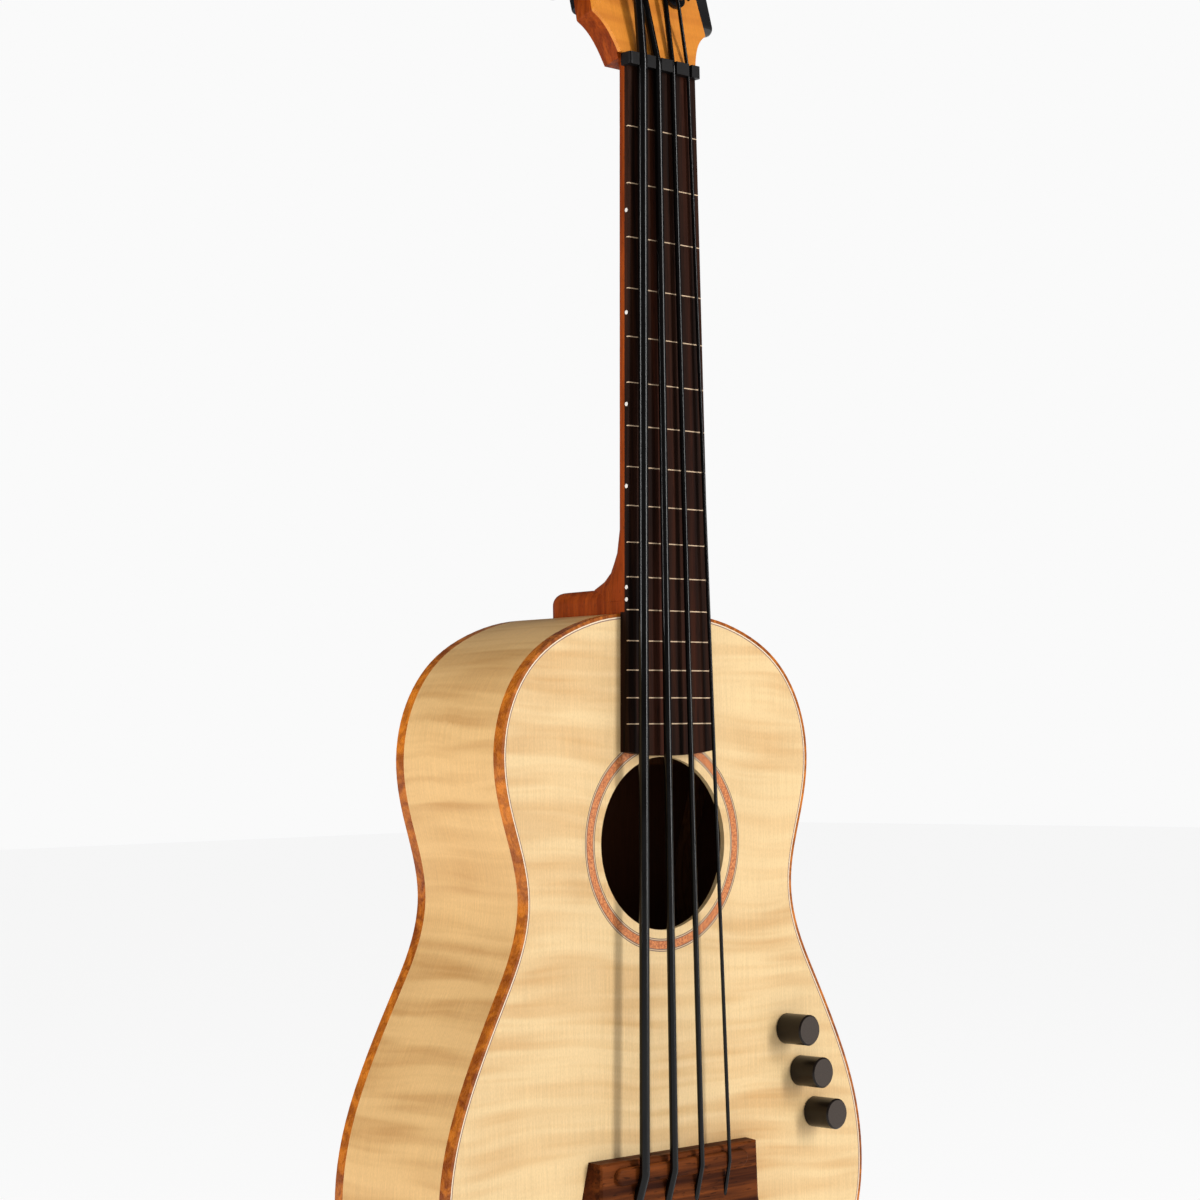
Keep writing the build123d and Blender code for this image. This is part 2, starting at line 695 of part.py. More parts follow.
# ---------------------------------------------------------------- bridge and strings
with BuildPart() as bridge:
    with BuildSketch(FRONT):
        with BuildLine():
            Polyline((-BRIDGE_BASE_TOP_HALF, -BRIDGE_TOP), (BRIDGE_BASE_TOP_HALF, -BRIDGE_TOP),
                     (BRIDGE_BASE_BOTTOM_HALF, -BRIDGE_BOTTOM), (-BRIDGE_BASE_BOTTOM_HALF, -BRIDGE_BOTTOM),
                     close=True)
        make_face()
    with BuildSketch(Plane.XZ.offset(-BRIDGE_FACE_Y)):
        with BuildLine():
            Polyline((-BRIDGE_FACE_HALF, -BRIDGE_TOP - 0.6), (BRIDGE_FACE_HALF, -BRIDGE_TOP - 0.6),
                     (BRIDGE_FACE_HALF, -BRIDGE_BOTTOM + 1), (-BRIDGE_FACE_HALF, -BRIDGE_BOTTOM + 1),
                     close=True)
        make_face()
    loft(ruled=True)
    chamfer(bridge.faces().sort_by(Axis.Y)[0].edges(), 0.8)
    with BuildSketch(Plane.XZ.offset(-SADDLE_SEAT_Y)):
        with Locations((0, -SADDLE_DROP)):
            SlotOverall(SADDLE_LENGTH, SADDLE_WIDTH)
    extrude(amount=20, mode=Mode.SUBTRACT)
    with BuildSketch(Plane.XZ.offset(-SADDLE_SEAT_Y)):
        with Locations((0, -SADDLE_DROP)):
            Rectangle(PIEZO_LENGTH + PIEZO_PLAY, PIEZO_WIDTH + PIEZO_PLAY)
    extrude(amount=-PIEZO, mode=Mode.SUBTRACT)
    for name in STRINGS:
        add(swept_string(name, 0.2), mode=Mode.SUBTRACT)
save(bridge, "bridge")

with BuildPart() as saddle:
    with BuildSketch(Plane.XZ.offset(-SADDLE_SEAT_Y)):
        with Locations((0, -SADDLE_DROP)):
            SlotOverall(SADDLE_LENGTH, SADDLE_WIDTH)
    extrude(amount=SADDLE_SEAT_Y - SADDLE_TOP_Y)
    fillet(saddle.faces().sort_by(Axis.Y)[0].edges(), 1.6)
    for name in STRINGS:
        add(swept_string(name, 0.02), mode=Mode.SUBTRACT)
save(saddle, "saddle")

with BuildPart() as piezo_pickup:
    with BuildSketch(Plane.XZ.offset(-SADDLE_SEAT_Y)):
        with Locations((0, -SADDLE_DROP)):
            Rectangle(PIEZO_LENGTH, PIEZO_WIDTH)
    extrude(amount=-PIEZO)
save(piezo_pickup, "piezo_pickup")

for name in STRINGS:
    with BuildPart() as string:
        add(swept_string(name))
    save(string, f"string_{name}")

ANCHOR_FACE = TOP_Y + PLATE + BRIDGE_PLATE

with BuildPart() as string_anchors:
    for diameter, _, saddle_x, _, _ in STRINGS.values():
        with BuildSketch(Plane.XZ.offset(-ANCHOR_FACE)):
            with Locations((saddle_x, -STRING_HOLE_DROP)):
                Circle(diameter / 2 + 2.6)
                Circle(diameter / 2 + 0.02, mode=Mode.SUBTRACT)
        extrude(amount=-5)
save(string_anchors, "string_anchors")

# ---------------------------------------------------------------- tuning machines
CASE_IN, CASE_OUT = -9.0, 11.0
CASE_LOW, CASE_HIGH = -8.5, 13.0
CASE_DEEP = 10.0
CASE_WALL = 1.6
GEAR_LOW, GEAR_HIGH = 1.5, 7.0
WORM_Z = (GEAR_LOW + GEAR_HIGH) / 2
SHAFT_END = 26.0
BUTTON_START = 23.5

FLANGE = 1.6                  # screw's ear on each housing
BEZEL_RADIUS = 6.6
SCREW_HEAD_RADIUS = 2.4
SCREW_HEAD = 1.4


def tuner_case(name):
    """One tuner's hollow housing with its screw's ear and the worm shaft's bore."""
    plane = post_plane(name)
    up = up_sign(name)
    middle = ((CASE_IN + CASE_OUT) / 2, up * (CASE_LOW + CASE_HIGH) / 2)
    shaft_plane = Plane(origin=plane.from_local_coords((0, up * WORM_OFFSET, WORM_Z)), z_dir=plane.x_dir)
    with BuildPart(mode=Mode.PRIVATE) as case:
        with BuildSketch(plane):
            with Locations(middle):
                RectangleRounded(CASE_OUT - CASE_IN, CASE_HIGH - CASE_LOW, 3)
        extrude(amount=CASE_DEEP)
        chamfer(case.faces().sort_by(Axis(plane.origin, plane.z_dir))[-1].edges(), 1.2)
        with BuildSketch(plane):
            with Locations((SCREW_X, -up * (SCREW_SPAN - 1))):
                SlotOverall(9, 6, rotation=90)
        extrude(amount=FLANGE)
        with BuildSketch(plane):
            with Locations(middle):
                Rectangle(CASE_OUT - CASE_IN - 2 * CASE_WALL, CASE_HIGH - CASE_LOW - 2 * CASE_WALL)
        extrude(amount=CASE_DEEP - CASE_WALL, mode=Mode.SUBTRACT)
        with BuildSketch(plane):
            with Locations((SCREW_X, -up * SCREW_SPAN)):
                Circle(SCREW_RADIUS + 0.2)
        extrude(amount=2 * FLANGE, mode=Mode.SUBTRACT)
        with BuildSketch(shaft_plane):
            Circle(SHAFT_RADIUS + RUNNING)
        extrude(amount=20, mode=Mode.SUBTRACT)
    return case.part


def tuner_bushing(name):
    """One tuner's sleeve through the headstock with its collar on the face."""
    with BuildPart(mode=Mode.PRIVATE) as bushing:
        with BuildSketch(post_plane(name).offset(-1)):
            Circle(BUSHING_RADIUS)
        extrude(amount=-(HEAD_THICK - 1))
        with BuildSketch(post_plane(name).offset(-HEAD_THICK)):
            Circle(BEZEL_RADIUS)
        extrude(amount=-2)
        with BuildSketch(post_plane(name)):
            Circle(POST_RADIUS + RUNNING)
        extrude(amount=-HEAD_THICK - 5, mode=Mode.SUBTRACT)
    return bushing.part


def tuner_screw(name):
    """One tuner's cross-head screw."""
    seat_plane = post_plane(name).offset(FLANGE)
    spot = (SCREW_X, -SCREW_SPAN * up_sign(name))
    with BuildPart(mode=Mode.PRIVATE) as screw:
        with BuildSketch(seat_plane):
            with Locations(spot):
                Circle(SCREW_HEAD_RADIUS)
        extrude(amount=SCREW_HEAD)
        with BuildSketch(seat_plane):
            with Locations(spot):
                Circle(SCREW_RADIUS)
        extrude(amount=-8)
        with BuildSketch(seat_plane.offset(SCREW_HEAD)):
            with Locations(spot):
                Rectangle(2.6, 0.6)
                Rectangle(0.6, 2.6)
        extrude(amount=-0.8, mode=Mode.SUBTRACT)
    return screw.part


with BuildPart() as tuner_housings:
    for name in STRINGS:
        add(tuner_case(name))
save(tuner_housings, "tuner_housings")

with BuildPart() as tuner_bushings:
    for name in STRINGS:
        add(tuner_bushing(name))
save(tuner_bushings, "tuner_bushings")

with BuildPart() as tuner_screws:
    for name in STRINGS:
        add(tuner_screw(name))
save(tuner_screws, "tuner_screws")

for name in STRINGS:
    plane = post_plane(name)
    with BuildPart() as post:
        with BuildSketch(plane.offset(GEAR_LOW)):
            Circle(GEAR_RADIUS)
        extrude(amount=GEAR_HIGH - GEAR_LOW)
        with BuildSketch(plane.offset(GEAR_LOW)):
            Circle(POST_RADIUS)
        extrude(amount=-(GEAR_LOW + HEAD_THICK + POST_ABOVE))
        tip = post.faces().sort_by(Axis(plane.origin, plane.z_dir))[0]
        chamfer(tip.edges(), 0.8)
    save(post, f"post_{name}")

STEM_RADIUS = 3.4
STEM_LENGTH = 8.0
COLLAR_RADIUS = 3.2


def button_paddle(axis_plane):
    """One button's grip: a flat oval with rounded rims."""
    with BuildPart(mode=Mode.PRIVATE) as paddle:
        with BuildSketch(axis_plane.offset(BUTTON_START)):
            SlotOverall(BUTTON_LENGTH, BUTTON_THICKNESS, rotation=90)
        extrude(amount=BUTTON_WIDTH)
        fillet(paddle.edges().filter_by(GeomType.CIRCLE), 2.4)
    return paddle.part


for name in STRINGS:
    plane = post_plane(name)
    axis_plane = Plane(origin=plane.from_local_coords((0, up_sign(name) * WORM_OFFSET, WORM_Z)),
                       x_dir=plane.z_dir, z_dir=plane.x_dir)
    with BuildPart() as worm_shaft:
        with BuildSketch(axis_plane.offset(-6.5)):
            Circle(WORM_RADIUS)
        extrude(amount=13)
        with BuildSketch(axis_plane):
            Circle(SHAFT_RADIUS)
        extrude(amount=SHAFT_END)
        with BuildSketch(axis_plane.offset(CASE_OUT + 0.3)):
            Circle(COLLAR_RADIUS)
        extrude(amount=2.2)
    save(worm_shaft, f"worm_shaft_{name}")
    with BuildPart() as button:
        with BuildSketch(axis_plane.offset(BUTTON_START + 2 - STEM_LENGTH)):
            Circle(STEM_RADIUS)
        extrude(amount=STEM_LENGTH)
        add(button_paddle(axis_plane))
        with BuildSketch(axis_plane):
            Circle(SHAFT_RADIUS)
        extrude(amount=SHAFT_END, mode=Mode.SUBTRACT)
    save(button, f"button_{name}")

# ---------------------------------------------------------------- controls and electronics
POT_FACE = PLATE + 2.0        # pot body behind the soundboard's face
POT_DEEP = 6.5
POT_RADIUS = 8.0
POT_SHAFT_OUT = 12.0
NUT_PROUD = 2.6

for name, (x, drop) in KNOBS.items():
    outward = Plane(origin=(x, TOP_Y, -drop), x_dir=(1, 0, 0), z_dir=(0, -1, 0))
    with BuildPart() as knob:
        with BuildSketch(outward.offset(KNOB_GAP)):
            Circle(KNOB_RADIUS)
        extrude(amount=TOP_Y - KNOB_FACE_Y - KNOB_GAP)
        rim = knob.faces().sort_by(Axis.Y)[0].edges()
        chamfer(rim, 0.7)
        with BuildSketch(outward):
            Circle(KNOB_RECESS_RADIUS)
        extrude(amount=NUT_PROUD + 0.8, mode=Mode.SUBTRACT)
        with BuildSketch(outward):
            Circle(POT_SHAFT_RADIUS)
        extrude(amount=POT_SHAFT_OUT, mode=Mode.SUBTRACT)
    save(knob, f"knob_{name}")
    with BuildPart() as pot_shaft:
        with BuildSketch(outward.offset(POT_SHAFT_OUT)):
            Circle(POT_SHAFT_RADIUS)
        extrude(amount=-(POT_SHAFT_OUT + POT_FACE + 4))
    save(pot_shaft, f"pot_shaft_{name}")

def control_pot(x, drop):
    """One potentiometer: a round body, a bushing through the soundboard and its hexagonal nut."""
    inward = Plane(origin=(x, TOP_Y, -drop), x_dir=(1, 0, 0), z_dir=(0, 1, 0))
    with BuildPart(mode=Mode.PRIVATE) as pot:
        with BuildSketch(inward.offset(POT_FACE)):
            Circle(POT_RADIUS)
        extrude(amount=POT_DEEP)
        with BuildSketch(inward.offset(-NUT_PROUD)):
            Circle(POT_BUSHING_RADIUS)
        extrude(amount=NUT_PROUD + POT_FACE)
        with BuildSketch(inward.offset(-NUT_PROUD + 0.4)):
            RegularPolygon(5.0, 6)
        extrude(amount=NUT_PROUD - 0.4)
        with BuildSketch(inward.offset(-NUT_PROUD)):
            Circle(POT_SHAFT_RADIUS + RUNNING)
        extrude(amount=NUT_PROUD + POT_FACE + 4.5, mode=Mode.SUBTRACT)
    return pot.part


with BuildPart() as control_pots:
    for x, drop in KNOBS.values():
        add(control_pot(x, drop))
save(control_pots, "control_pots")

CIRCUIT_LEAN = 23.8           # lean of the row of knobs from upright, degrees
CIRCUIT = (91.9, -486.6)      # circuit board's middle, on the middle pot
CIRCUIT_THICK = 1.6
CIRCUIT_PLACE = Location((*CIRCUIT, 0), (0, 0, CIRCUIT_LEAN))
CIRCUIT_PLANE = Plane.XZ.offset(-(TOP_Y + POT_FACE + POT_DEEP))

with BuildPart() as preamp_board:
    with BuildSketch(CIRCUIT_PLANE):
        with Locations(CIRCUIT_PLACE):
            RectangleRounded(22, 66, 2)
    extrude(amount=-CIRCUIT_THICK)
    with BuildSketch(CIRCUIT_PLANE.offset(-CIRCUIT_THICK)):
        with Locations(CIRCUIT_PLACE):
            with GridLocations(0, 18, 1, 3):
                Rectangle(9, 7)
    extrude(amount=-3)
save(preamp_board, "preamp_board")

BATTERY = (26.5, 17.5, 48.5)
BATTERY_X = 56.0
BATTERY_Y = 62.0
BATTERY_Z = -572.0
TERMINAL_SPREAD = 6.0
TERMINAL_Z = BATTERY_Z + BATTERY[2] / 2 + 1.25

with BuildPart() as battery:
    with Locations((BATTERY_X, BATTERY_Y, BATTERY_Z)):
        Box(*BATTERY)
    fillet(battery.edges().filter_by(Axis.Z), 1.5)
    with Locations((BATTERY_X - TERMINAL_SPREAD, BATTERY_Y, TERMINAL_Z),
                   (BATTERY_X + TERMINAL_SPREAD, BATTERY_Y, TERMINAL_Z)):
        Cylinder(3.2, 3)
save(battery, "battery")

JACK_BARREL_RADIUS = 5.9
JACK_WAIST_RADIUS = 8.0
JACK_HEAD_RADIUS = 10.0

with BuildPart() as output_jack:
    with BuildSketch(JACK_PLANE.offset(-24)):
        Circle(JACK_BARREL_RADIUS)
    extrude(amount=25)
    with BuildSketch(JACK_PLANE.offset(0.5)):
        Circle(JACK_WAIST_RADIUS)
    extrude(amount=8)
    with BuildSketch(JACK_PLANE.offset(8.5)):
        Circle(JACK_HEAD_RADIUS)
    extrude(amount=3)
    fillet(output_jack.edges().filter_by(GeomType.CIRCLE).group_by(Axis.Z)[0][-1], 0.8)
    with BuildSketch(JACK_PLANE.offset(12)):
        Circle(JACK_BORE)
    extrude(amount=-32, mode=Mode.SUBTRACT)
save(output_jack, "output_jack")
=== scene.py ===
"""The looks of a fretless bass ukulele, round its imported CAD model.

Metres; +Z runs up the neck, the soundboard faces -Y and +X is the treble side.
"""
import math

import bpy
import numpy as np
from mathutils import Matrix, Vector


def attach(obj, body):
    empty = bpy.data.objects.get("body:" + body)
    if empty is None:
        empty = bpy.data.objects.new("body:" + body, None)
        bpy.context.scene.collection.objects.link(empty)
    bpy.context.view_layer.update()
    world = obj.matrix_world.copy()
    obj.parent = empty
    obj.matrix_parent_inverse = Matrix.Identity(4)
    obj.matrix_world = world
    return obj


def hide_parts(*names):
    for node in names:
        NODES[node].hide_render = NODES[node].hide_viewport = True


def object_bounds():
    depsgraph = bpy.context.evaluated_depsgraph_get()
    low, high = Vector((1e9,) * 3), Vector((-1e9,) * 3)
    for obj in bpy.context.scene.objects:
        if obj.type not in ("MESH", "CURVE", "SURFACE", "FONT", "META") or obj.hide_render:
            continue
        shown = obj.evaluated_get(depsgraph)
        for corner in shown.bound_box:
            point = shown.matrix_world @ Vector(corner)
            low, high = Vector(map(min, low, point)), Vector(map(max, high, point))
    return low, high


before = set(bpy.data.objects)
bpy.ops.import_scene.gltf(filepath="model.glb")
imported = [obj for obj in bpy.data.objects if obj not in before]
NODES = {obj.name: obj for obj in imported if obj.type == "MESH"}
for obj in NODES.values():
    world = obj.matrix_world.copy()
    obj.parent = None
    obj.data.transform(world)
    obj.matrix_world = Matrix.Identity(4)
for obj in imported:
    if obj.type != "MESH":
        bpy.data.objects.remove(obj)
CAD_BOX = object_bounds()

# ---- measures of the CAD model, in metres --------------------------------------------------------
# Right half of the body's outline: x, and how far below the nut.
HALF_OUTLINE = np.array([
    (0, 261.5), (36, 263.4), (59, 270.2), (80.6, 283), (94.5, 300.7), (101.6, 329), (97.5, 355),
    (90.3, 378.6), (88.2, 395), (92, 414.5), (104, 439), (120.4, 470.2), (132.6, 501.5),
    (136.8, 529), (132.5, 560), (114, 590), (78, 610.5), (38, 617.6), (0, 619),
]) / 1000
OUTLINE_STEPS = 24           # points between two of the outline's corners
HOLE_HEIGHT = -0.3709
HEAD_TILT = math.radians(14)
STRIP_MIDDLE = 0.00205       # inset of the purfling's middle line; the ribs' inner face is past it


# ---- node graphs ---------------------------------------------------------------------------------
def rgb(red, green, blue):
    """The linear colour of an 8-bit sRGB one."""
    parts = [c / 255 for c in (red, green, blue)]
    return tuple(((c + 0.055) / 1.055) ** 2.4 if c > 0.04 else c / 12.92 for c in parts) + (1.0,)


class Graph:
    """A material built from nodes round one Principled shader."""

    def __init__(self, name, **shader):
        self.material = bpy.data.materials.new(name)
        self.material.use_nodes = True
        self.tree = self.material.node_tree
        self.tree.nodes.clear()
        self.shader = self.node("BsdfPrincipled", **shader)
        self.node("OutputMaterial", Surface=self.shader)
        self.place = self.node("TexCoord").outputs["Object"]

    def feed(self, socket, value):
        if isinstance(value, bpy.types.Node):
            value = value.outputs[0]
        if isinstance(value, bpy.types.NodeSocket):
            self.tree.links.new(value, socket)
        else:
            socket.default_value = value

    def node(self, kind, settings=None, **inputs):
        made = self.tree.nodes.new("ShaderNode" + kind)
        for key, value in (settings or {}).items():
            setattr(made, key, value)
        for key, value in inputs.items():
            self.feed(made.inputs[key.replace("_", " ")], value)
        return made

    def math(self, operation, first, second=0.0, clamp=False):
        made = self.node("Math", {"operation": operation, "use_clamp": clamp})
        self.feed(made.inputs[0], first)
        self.feed(made.inputs[1], second)
        return made.outputs[0]

    def axes(self):
        """The x, y and z of the object coordinates."""
        return self.node("SeparateXYZ", Vector=self.place).outputs

    def vector(self, x, y, z):
        return self.node("CombineXYZ", X=x, Y=y, Z=z).outputs[0]

    def along(self, attribute):
        """A number that the mesh holds for each vertex."""
        return self.node("Attribute", {"attribute_name": attribute}).outputs["Fac"]

    def scaled(self, vector, scale):
        made = self.node("VectorMath", {"operation": "MULTIPLY"})
        self.feed(made.inputs[0], vector)
        made.inputs[1].default_value = scale
        return made.outputs[0]

    def noise(self, vector, scale, detail=2.0, roughness=0.5, distortion=0.0):
        """Noise from 0 to 1, with scale cycles a metre along each axis."""
        made = self.node(
            "TexNoise", {"noise_dimensions": "3D"}, Vector=self.scaled(vector, scale),
            Scale=1.0, Detail=detail, Roughness=roughness, Distortion=distortion,
        )
        return made.outputs["Fac"]

    def fit(self, value, low, high, new_low=0.0, new_high=1.0, smooth=True):
        """The value's range low to high, brought to a new range and held inside it."""
        kind = "SMOOTHSTEP" if smooth else "LINEAR"
        made = self.node(
            "MapRange", {"interpolation_type": kind},
            From_Min=low, From_Max=high, To_Min=new_low, To_Max=new_high,
        )
        self.feed(made.inputs["Value"], value)
        return made.outputs[0]

    def mix(self, share, first, second, blend="MIX"):
        made = self.node("Mix", {"data_type": "RGBA", "blend_type": blend})
        self.feed(made.inputs[0], share)
        self.feed(made.inputs[6], first)
        self.feed(made.inputs[7], second)
        return made.outputs[2]

    def dim(self, colour, value):
        """The colour multiplied by a grey value."""
        grey = self.node("CombineColor", Red=value, Green=value, Blue=value)
        return self.mix(1.0, colour, grey, "MULTIPLY")

    def finish(self, colour, roughness=None, height=None, distance=0.0001, strength=0.5):
        self.feed(self.shader.inputs["Base Color"], colour)
        if roughness is not None:
            self.feed(self.shader.inputs["Roughness"], roughness)
        if height is not None:
            bump = self.node("Bump", Height=height, Distance=distance, Strength=strength)
            self.feed(self.shader.inputs["Normal"], bump.outputs[0])
        return self.material


# ---- wood ----------------------------------------------------------------------------------------
def flamed_maple(name, pale, tan, frame_of, depth=1.0, slope=0.0, coat=0.08, gloss=0.38, inside=None):
    """Maple whose flames cross the grain. frame_of gives the graph's place across and along the grain,
    and inside the share of each place that is the inner surface of the sound box, which gets a painted shade
    of dark brown."""
    g = Graph(name, Coat_Weight=coat, Coat_Roughness=0.22, Specular_IOR_Level=0.25)
    across, along = frame_of(g)
    flat = g.vector(across, 0.0, along)
    drift = g.math("MULTIPLY", g.math("SUBTRACT", g.noise(flat, (10, 1, 12), 1.0), 0.5), 0.016)
    lean = g.math("MULTIPLY", across, slope)
    bent = g.vector(across, 0.0, g.math("ADD", g.math("ADD", along, drift), lean))
    broad = g.fit(g.noise(bent, (8, 1, 105), 1.0, 0.45), 0.40, 0.66)
    narrow = g.fit(g.noise(bent, (15, 1, 230), 1.0, 0.5), 0.42, 0.68)
    patch = g.fit(g.noise(flat, (13, 1, 9), 2.0), 0.3, 0.7, 0.45, 1.0)
    flame = g.math("ADD", g.math("MULTIPLY", broad, 0.72), g.math("MULTIPLY", narrow, 0.30))
    flame = g.math("MULTIPLY", g.math("MULTIPLY", flame, patch), depth, clamp=True)
    colour = g.mix(flame, pale, tan)
    grain = g.noise(flat, (1500, 1, 45), 2.0, 0.6)
    colour = g.dim(colour, g.fit(grain, 0.35, 0.65, 0.93, 1.03, smooth=False))
    fleck = g.noise(flat, (1300, 1, 700), 2.0, 0.7)
    colour = g.dim(colour, g.fit(fleck, 0.36, 0.62, 0.94, 1.02, smooth=False))
    cloud = g.noise(flat, (24, 1, 20), 2.0)
    colour = g.dim(colour, g.fit(cloud, 0.3, 0.7, 0.97, 1.02))
    # Painted shade: a dark brown on the sound box's inner surfaces stands in for the shade inside the box.
    if inside is not None:
        colour = g.mix(inside(g), colour, g.dim(rgb(72, 40, 22), g.fit(grain, 0.3, 0.7, 0.8, 1.1)))
    rough = g.fit(g.math("ADD", g.math("MULTIPLY", flame, 0.5), grain), 0.3, 1.1, gloss, gloss + 0.12)
    return g.finish(colour, rough, grain, 0.00003, 0.35)


def streaked_wood(name, dark, light, vein, frame_of, fine=900, reach=9, coat=0.1, gloss=0.34, pores=0.55,
                  level=0.05):
    """A coarse, dark wood with streaks and open pores along its grain."""
    g = Graph(name, Coat_Weight=coat, Coat_Roughness=0.25, Specular_IOR_Level=level)
    across, along, through = frame_of(g)
    flat = g.vector(across, through, along)
    wave = g.math("MULTIPLY", g.math("SUBTRACT", g.noise(flat, (8, 8, 6), 1.0), 0.5), 0.006)
    bent = g.vector(g.math("ADD", across, wave), g.math("ADD", through, wave), along)
    streak = g.fit(g.noise(bent, (fine * 0.22, fine * 0.22, reach * 0.5), 3.0, 0.6), 0.34, 0.68)
    colour = g.mix(streak, dark, light)
    band = g.fit(g.noise(bent, (fine * 0.10, fine * 0.10, reach * 0.25), 1.0), 0.50, 0.74)
    colour = g.mix(band, colour, vein)
    fibre = g.noise(bent, (fine, fine, reach * 3), 2.0, 0.6)
    colour = g.dim(colour, g.fit(fibre, 0.3, 0.7, 0.80, 1.10))
    pore = g.noise(bent, (fine * 1.6, fine * 1.6, reach * 14), 1.0)
    colour = g.dim(colour, g.fit(pore, 0.60, 0.72, 1.0, pores))
    rough = g.fit(fibre, 0.3, 0.7, gloss, gloss + 0.14)
    return g.finish(colour, rough, g.math("SUBTRACT", fibre, g.fit(pore, 0.60, 0.72)), 0.00006, 0.5)


def upright(g):
    """Grain up the instrument, in the plane of the soundboard."""
    x, _, z = g.axes()
    return x, z


def round_the_side(g):
    """Grain along the bent side, in from the soundboard."""
    return g.axes()[1], g.along("arc")


def rib_inner_painted_shade(g):
    """1 on the bent sides' inner surface, from the mesh's own mark: where the painted shade goes."""
    return g.along("inward")


def back_inner_painted_shade(g):
    """1 on the back plate's face towards the sound hole: where the painted shade goes."""
    normal = g.node("NewGeometry").outputs["Normal"]
    return g.fit(g.node("SeparateXYZ", Vector=normal).outputs[1], -0.6, -0.4, 1.0, 0.0)


def up_the_head(g):
    """Grain up the headstock's leaning face."""
    x, y, z = g.axes()
    leaning = g.math("MULTIPLY", y, math.sin(HEAD_TILT))
    upright_share = g.math("MULTIPLY", z, math.cos(HEAD_TILT))
    return x, g.math("ADD", leaning, upright_share)


def up_the_neck(g):
    """Grain up the instrument, through a thick piece."""
    x, y, z = g.axes()
    return x, z, y


def over_the_bridge(g):
    """Grain from side to side."""
    x, y, z = g.axes()
    return z, x, y


def mottled_binding():
    """Curly orange-brown wood strip, in short blotches along its length."""
    g = Graph("binding_wood", Coat_Weight=0.12, Coat_Roughness=0.15, Specular_IOR_Level=0.2)
    length = g.along("arc")
    flat = g.vector(g.axes()[1], 0.0, length)
    blotch = g.fit(g.noise(flat, (150, 1, 150), 2.0, 0.55, 0.6), 0.36, 0.66)
    slow = g.fit(g.noise(flat, (10, 1, 22), 1.0), 0.36, 0.66)
    share = g.math("ADD", g.math("MULTIPLY", blotch, 0.6), g.math("MULTIPLY", slow, 0.45), clamp=True)
    colour = g.mix(share, rgb(124, 56, 5), rgb(204, 116, 26))
    speck = g.noise(flat, (1100, 1, 620), 2.0, 0.6)
    colour = g.dim(colour, g.fit(speck, 0.32, 0.68, 0.88, 1.08))
    return g.finish(colour, g.fit(speck, 0.3, 0.7, 0.24, 0.36), speck, 0.00003, 0.3)


def purfling_lines():
    """From the outside in: a pale line and a thin mauve one."""
    g = Graph("purfling", Roughness=0.38, Coat_Weight=0.12, Specular_IOR_Level=0.4)
    inward = g.along("inward")
    length = g.along("arc")
    grain = g.noise(g.vector(inward, 0.0, length), (3, 1, 900), 2.0)
    mauve = g.fit(inward, 0.50, 0.58)
    colour = g.mix(mauve, rgb(244, 222, 190), rgb(146, 112, 96))
    edge = g.math("MULTIPLY", g.fit(inward, 0.02, 0.12, 1.0, 0.0), 0.8)
    colour = g.mix(edge, colour, rgb(120, 84, 60))
    return g.finish(g.dim(colour, g.fit(grain, 0.3, 0.7, 0.88, 1.06)))


# Radii where the rosette's next line or ring starts, from the inside out.
RING_STARTS = (0.0456, 0.0460, 0.0464, 0.0500, 0.05045, 0.05085)
RING_BLUR = 0.00005


def rosette_rings():
    """An orange speckled ring between double lines, by distance from the middle of the sound hole."""
    g = Graph("rosette_wood", Coat_Weight=0.12, Coat_Roughness=0.22, Specular_IOR_Level=0.4)
    x, _, z = g.axes()
    down = g.math("SUBTRACT", z, HOLE_HEIGHT)
    radius = g.math("SQRT", g.math("ADD", g.math("MULTIPLY", x, x), g.math("MULTIPLY", down, down)))
    flat = g.vector(x, 0.0, z)
    fleck = g.fit(g.noise(flat, (760, 1, 760), 3.0, 0.7), 0.38, 0.62)
    ring = g.mix(fleck, rgb(176, 92, 40), rgb(222, 138, 74))
    ring = g.dim(ring, g.fit(g.noise(flat, (2100, 1, 2100), 1.0), 0.3, 0.7, 0.86, 1.08))
    line = rgb(104, 76, 62)
    pale = rgb(222, 190, 150)
    colour = line
    for start, following in zip(RING_STARTS, (pale, line, ring, line, pale, line)):
        colour = g.mix(g.fit(radius, start - RING_BLUR, start + RING_BLUR), colour, following)
    return g.finish(colour, 0.40)


# ---- metal, plastic and the rest -----------------------------------------------------------------
def metal(name, colour, gloss, wear=0.08, fine=900):
    g = Graph(name, Metallic=1.0)
    marks = g.noise(g.place, (fine, fine, fine), 3.0, 0.6)
    smudge = g.noise(g.place, (60, 60, 60), 2.0)
    tint = g.dim(colour, g.fit(marks, 0.3, 0.7, 1.0 - wear, 1.0 + wear))
    scuff = g.fit(marks, 0.3, 0.7, -0.02, 0.03)
    rough = g.math("ADD", g.fit(smudge, 0.3, 0.7, gloss, gloss + 0.10), scuff)
    return g.finish(tint, rough, marks, 0.00001, 0.3)


def moulded(name, colour, gloss, coat=0.0, fine=1400, contrast=0.06, level=0.5, bump=0.35):
    """Plastic, rubber or lacquer: an even colour with a fine texture and slow smudges."""
    g = Graph(name, Coat_Weight=coat, Coat_Roughness=0.12, Specular_IOR_Level=level)
    texture = g.noise(g.place, (fine, fine, fine), 2.0, 0.6)
    smudge = g.noise(g.place, (45, 45, 45), 2.0)
    tint = g.dim(colour, g.fit(smudge, 0.3, 0.7, 1.0 - contrast, 1.0 + contrast))
    tint = g.dim(tint, g.fit(texture, 0.3, 0.7, 1.0 - contrast, 1.0 + contrast))
    return g.finish(tint, g.fit(smudge, 0.3, 0.7, gloss, gloss + 0.10), texture, 0.00002, bump)


